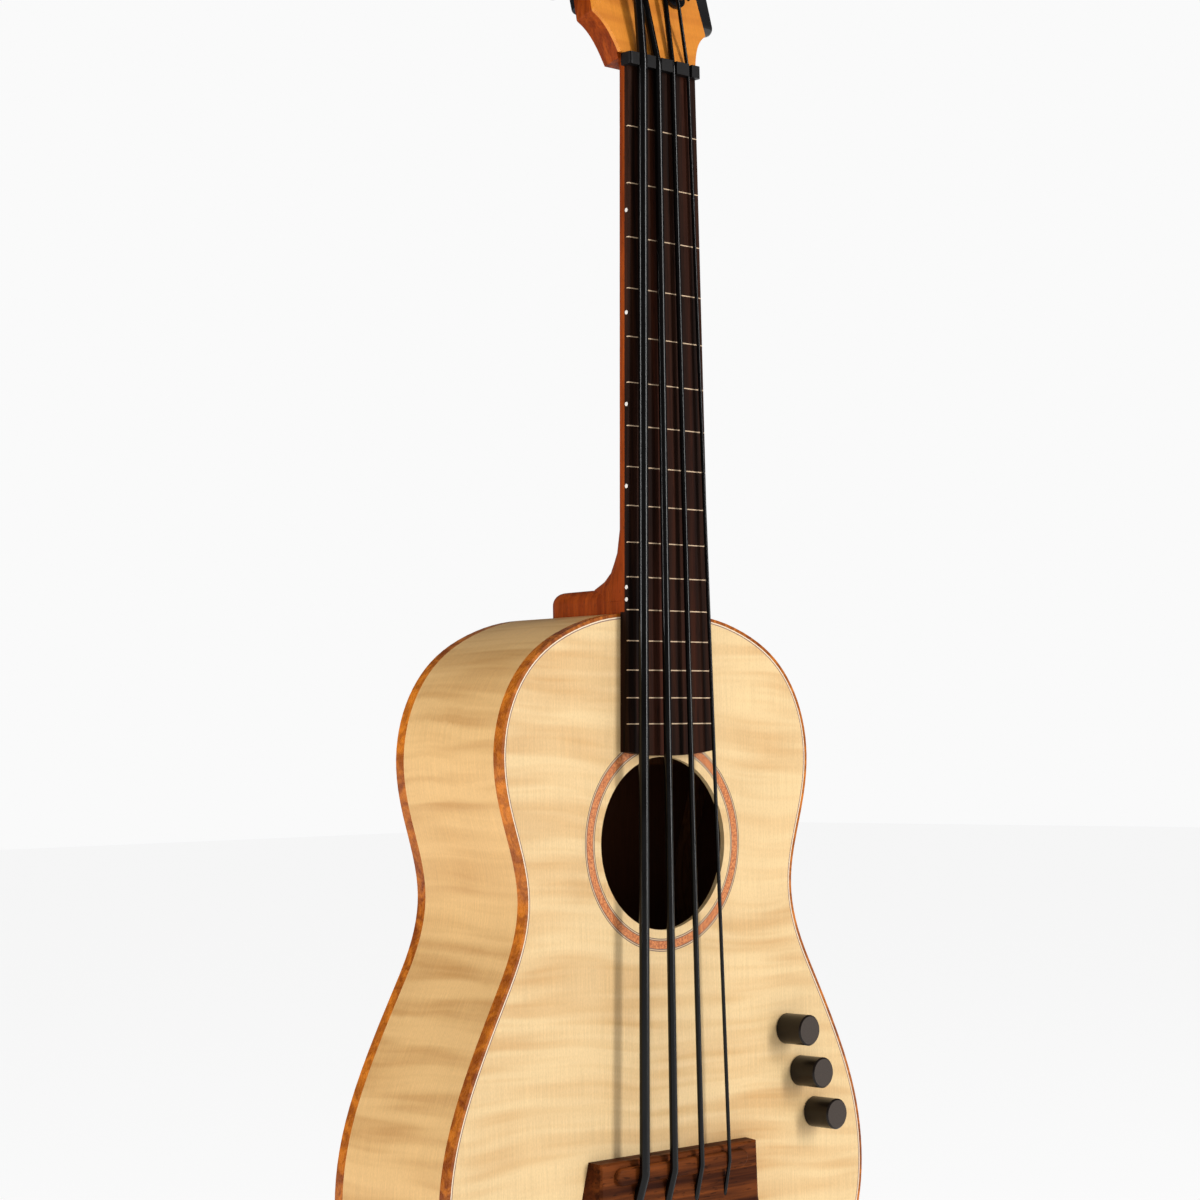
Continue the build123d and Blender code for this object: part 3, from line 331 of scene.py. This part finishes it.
def turned_knob():
    """A dark knob whose top face is painted lighter than the ribbed darker side, as a painted sheen, and is
    a little rougher.
    """
    g = Graph("knob_black", Coat_Weight=0.02, Coat_Roughness=0.3, Specular_IOR_Level=0.25)
    side = g.node("NewGeometry").outputs["Normal"]
    facing = g.math("ABSOLUTE", g.node("SeparateXYZ", Vector=side).outputs[1])
    face = g.fit(facing, 0.80, 0.97)
    fine = g.noise(g.place, (1500, 1500, 1500), 2.0)
    # Painted sheen: the face towards the front gets a lighter grey-brown than the side.
    colour = g.mix(face, rgb(24, 17, 13), rgb(62, 52, 45))
    colour = g.dim(colour, g.fit(fine, 0.3, 0.7, 0.88, 1.10))
    return g.finish(colour, g.fit(face, 0.0, 1.0, 0.30, 0.46), fine, 0.00002, 0.4)


MATERIALS = {
    "maple_top": flamed_maple("maple_top", rgb(232, 200, 147), rgb(212, 168, 110), upright, 1.1, slope=0.05),
    "maple_side": flamed_maple("maple_side", rgb(221, 179, 119), rgb(190, 142, 82), round_the_side, 1.0,
                               inside=rib_inner_painted_shade),
    "maple_back": flamed_maple("maple_back", rgb(224, 186, 130), rgb(186, 138, 80), upright, 1.2,
                               inside=back_inner_painted_shade),
    "binding_wood": mottled_binding(),
    "purfling": purfling_lines(),
    "rosette_wood": rosette_rings(),
    "mahogany": streaked_wood(
        "mahogany", rgb(118, 44, 6), rgb(156, 68, 14), rgb(132, 52, 9), up_the_neck,
        fine=900, reach=24, coat=0.06, gloss=0.34, pores=0.7,
    ),
    "maple_veneer": flamed_maple(
        "maple_veneer", rgb(226, 142, 50), rgb(180, 94, 22), up_the_head, coat=0.1, gloss=0.30,
    ),
    "rosewood_board": streaked_wood(
        "rosewood_board", rgb(18, 9, 6), rgb(52, 27, 16), rgb(66, 30, 17), up_the_neck,
        fine=900, reach=7, coat=0.0, gloss=0.48, pores=0.55,
    ),
    "rosewood_bridge": streaked_wood(
        "rosewood_bridge", rgb(50, 20, 7), rgb(122, 62, 24), rgb(82, 36, 13), over_the_bridge,
        fine=700, reach=14, coat=0.0, gloss=0.44, pores=0.5,
    ),
    "inner_wood": streaked_wood(
        "inner_wood", rgb(84, 50, 28), rgb(110, 70, 42), rgb(96, 58, 34), up_the_neck,
        fine=800, reach=12, coat=0.0, gloss=0.55, pores=0.8,
    ),
    "line_inlay": moulded("line_inlay", rgb(206, 178, 146), 0.45, level=0.2),
    "dot_inlay": moulded("dot_inlay", rgb(226, 220, 212), 0.25, 0.2),
    "nut_graphite": moulded("nut_graphite", rgb(20, 18, 18), 0.34, level=0.15),
    "string_rubber": moulded("string_rubber", rgb(5, 4, 4), 0.14, 0.0, level=0.28, bump=0.0),
    "anchor_plastic": moulded("anchor_plastic", rgb(30, 30, 32), 0.4),
    "button_black": moulded("button_black", rgb(22, 21, 22), 0.18, 0.4),
    "battery_case": moulded("battery_case", rgb(42, 44, 50), 0.4),
    "circuit_board": moulded("circuit_board", rgb(24, 74, 46), 0.35, 0.2),
    "knob_black": turned_knob(),
    "steel": metal("steel", rgb(170, 172, 176), 0.30),
    "shaft_metal": metal("shaft_metal", rgb(190, 190, 192), 0.22),
    "black_metal": metal("black_metal", rgb(52, 52, 56), 0.24),
    "pot_metal": metal("pot_metal", rgb(176, 172, 160), 0.32),
    "pickup_metal": metal("pickup_metal", rgb(186, 168, 128), 0.30),
    "jack_metal": metal("jack_metal", rgb(196, 196, 200), 0.16),
}
SLOTS = {name: node.material_slots[0].material.name.split(".")[0] for name, node in NODES.items()}
for name, node in NODES.items():
    node.material_slots[0].material = MATERIALS[SLOTS[name]]


# ---- pieces whose grain follows the outline ------------------------------------------------------
def closed_outline():
    """The body's outline as a fine closed line, and how far along it each point is."""
    left = HALF_OUTLINE[-2:0:-1] * (-1, 1)
    corners = np.vstack([HALF_OUTLINE, left])
    count = len(corners)
    points = []
    for i in range(count):
        before, start, end, after = (corners[(i + k) % count] for k in (-1, 0, 1, 2))
        for t in np.linspace(0, 1, OUTLINE_STEPS, endpoint=False):
            bend = (2 * start, end - before, 2 * before - 5 * start + 4 * end - after,
                    3 * (start - end) + after - before)
            points.append(sum(part * t ** power for power, part in enumerate(bend)) / 2)
    points = np.array(points) * (1, -1)
    steps = np.linalg.norm(np.roll(points, -1, axis=0) - points, axis=1)
    return points, np.concatenate([[0], np.cumsum(steps)[:-1]])


OUTLINE, OUTLINE_ARC = closed_outline()


def follow_outline(name, body="root"):
    """A copy of a CAD node's mesh that knows its place along the outline, and which points are
    past the purfling's middle: its mauve line, and the bent sides' inner face."""
    node = NODES[name]
    mesh = node.data.copy()
    piece = bpy.data.objects.new(name + "_piece", mesh)
    bpy.context.scene.collection.objects.link(piece)
    place = np.empty(len(mesh.vertices) * 3)
    mesh.vertices.foreach_get("co", place)
    place = place.reshape(-1, 3)[:, (0, 2)]
    arc = np.empty(len(place))
    inset = np.empty(len(place))
    for i, point in enumerate(place):
        gap = np.linalg.norm(OUTLINE - point, axis=1)
        nearest = int(gap.argmin())
        arc[i] = OUTLINE_ARC[nearest]
        inset[i] = gap[nearest]
    # Both halves count from the middle of the neck, so the sides match like pages of a book.
    arc = np.minimum(arc, OUTLINE_ARC[-1] - arc)
    mesh.attributes.new("arc", "FLOAT", "POINT").data.foreach_set("value", arc.astype(np.float32))
    inward = (inset > STRIP_MIDDLE).astype(np.float32)
    mesh.attributes.new("inward", "FLOAT", "POINT").data.foreach_set("value", inward)
    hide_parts(name)
    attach(piece, body)
    return piece


RIBS = [f"rib_{side}_{part}" for side in ("treble", "bass") for part in ("upper", "waist", "lower")]
for name in RIBS + ["top_binding", "back_binding", "top_purfling"]:
    follow_outline(name)


# ---- floor, light and camera ---------------------------------------------------------------------
FLOOR_GAP = 0.0005
FLOOR_SIZE = 14.0
FLOOR_GLOW = 0.86
OVERHEAD = 0.9               # height on the world's sphere where the surround is dimmest
BELOW = -0.1                 # and where it is brightest
SURROUND_LOW = 0.86
SURROUND_OVERHEAD = 0.32
MIRRORED_LOSS = 0.80         # share of the surround that reflections don't see
LIGHT_AIM = Vector((0, 0, -0.35))
# name, bearing in degrees from the front towards +X, height over the aim, distance, width, height, watts
LIGHTS = [("key", 24, 0.55, 2.0, 0.36, 1.5, 29), ("side", -105, 0.1, 1.8, 0.30, 1.4, 23)]
CAMERA_PLACE = (-0.88236, -0.89218, -0.32609)
CAMERA_ANGLES = (43.186, -3.395, -0.909)   # bearing, tilt and roll, in degrees
LENS = 79.035
SENSOR = 36
SHIFT = (0.00014, -0.00545)


def floor():
    lowest = CAD_BOX[0].z - FLOOR_GAP
    mesh = bpy.data.meshes.new("floor")
    half = FLOOR_SIZE / 2
    corners = [(-half, -half, lowest), (half, -half, lowest), (half, half, lowest), (-half, half, lowest)]
    mesh.from_pydata(corners, [], [(0, 1, 2, 3)])
    made = bpy.data.objects.new("floor", mesh)
    bpy.context.scene.collection.objects.link(made)
    g = Graph("floor_paper", Roughness=0.9, Specular_IOR_Level=0.1, Emission_Strength=FLOOR_GLOW)
    grain = g.noise(g.place, (300, 300, 300), 2.0)
    mesh.materials.append(g.finish(g.dim(rgb(110, 110, 110), g.fit(grain, 0.3, 0.7, 0.995, 1.0))))


def studio():
    """A pale surround that is dimmer overhead, and plain white where the camera sees it."""
    world = bpy.data.worlds.new("studio")
    world.use_nodes = True
    tree = world.node_tree
    tree.nodes.clear()
    place = tree.nodes.new("ShaderNodeTexCoord")
    split = tree.nodes.new("ShaderNodeSeparateXYZ")
    height = tree.nodes.new("ShaderNodeMapRange")
    glow = tree.nodes.new("ShaderNodeBackground")
    plain = tree.nodes.new("ShaderNodeBackground")
    path = tree.nodes.new("ShaderNodeLightPath")
    choose = tree.nodes.new("ShaderNodeMixShader")
    out = tree.nodes.new("ShaderNodeOutputWorld")
    height.inputs["From Min"].default_value = BELOW
    height.inputs["From Max"].default_value = OVERHEAD
    height.inputs["To Min"].default_value = SURROUND_LOW
    height.inputs["To Max"].default_value = SURROUND_OVERHEAD
    plain.inputs["Color"].default_value = rgb(250, 250, 250)
    tree.links.new(place.outputs["Generated"], split.inputs[0])
    tree.links.new(split.outputs[2], height.inputs["Value"])
    mirrored = tree.nodes.new("ShaderNodeMath")
    mirrored.operation = "MULTIPLY_ADD"
    mirrored.inputs[1].default_value = -MIRRORED_LOSS
    mirrored.inputs[2].default_value = 1.0
    level = tree.nodes.new("ShaderNodeMath")
    level.operation = "MULTIPLY"
    tree.links.new(path.outputs["Is Glossy Ray"], mirrored.inputs[0])
    tree.links.new(height.outputs[0], level.inputs[0])
    tree.links.new(mirrored.outputs[0], level.inputs[1])
    tree.links.new(level.outputs[0], glow.inputs["Strength"])
    tree.links.new(path.outputs["Is Camera Ray"], choose.inputs[0])
    tree.links.new(glow.outputs[0], choose.inputs[1])
    tree.links.new(plain.outputs[0], choose.inputs[2])
    tree.links.new(choose.outputs[0], out.inputs["Surface"])
    bpy.context.scene.world = world


def softbox(name, bearing, height, distance, width, tall, watts):
    """A tall area light that faces the aim."""
    turn = math.radians(bearing)
    place = LIGHT_AIM + Vector((math.sin(turn) * distance, -math.cos(turn) * distance, height))
    lamp = bpy.data.lights.new(name, "AREA")
    lamp.shape = "RECTANGLE"
    lamp.size = width
    lamp.size_y = tall
    lamp.energy = watts
    made = bpy.data.objects.new(name, lamp)
    made.location = place
    made.rotation_euler = (LIGHT_AIM - place).to_track_quat("-Z", "Y").to_euler()
    bpy.context.scene.collection.objects.link(made)


def camera():
    """The view from the bass side, level with the middle of the body and looking slightly up."""
    bearing, tilt, roll = (math.radians(a) for a in CAMERA_ANGLES)
    ahead = Vector((math.sin(bearing) * math.cos(tilt), math.cos(bearing) * math.cos(tilt),
                    -math.sin(tilt)))
    level = Vector((math.cos(bearing), -math.sin(bearing), 0))
    over = level.cross(ahead)
    right = math.cos(roll) * level + math.sin(roll) * over
    up = math.cos(roll) * over - math.sin(roll) * level
    data = bpy.data.cameras.new("camera")
    data.sensor_width = SENSOR
    data.lens = LENS
    data.shift_x, data.shift_y = SHIFT
    data.clip_end = 60
    made = bpy.data.objects.new("camera", data)
    turn = Matrix((right, up, -ahead)).transposed().to_4x4()
    made.matrix_world = Matrix.Translation(CAMERA_PLACE) @ turn
    bpy.context.scene.collection.objects.link(made)
    bpy.context.scene.camera = made


floor()
studio()
for light in LIGHTS:
    softbox(*light)
camera()
bpy.context.scene.view_settings.view_transform = "Standard"
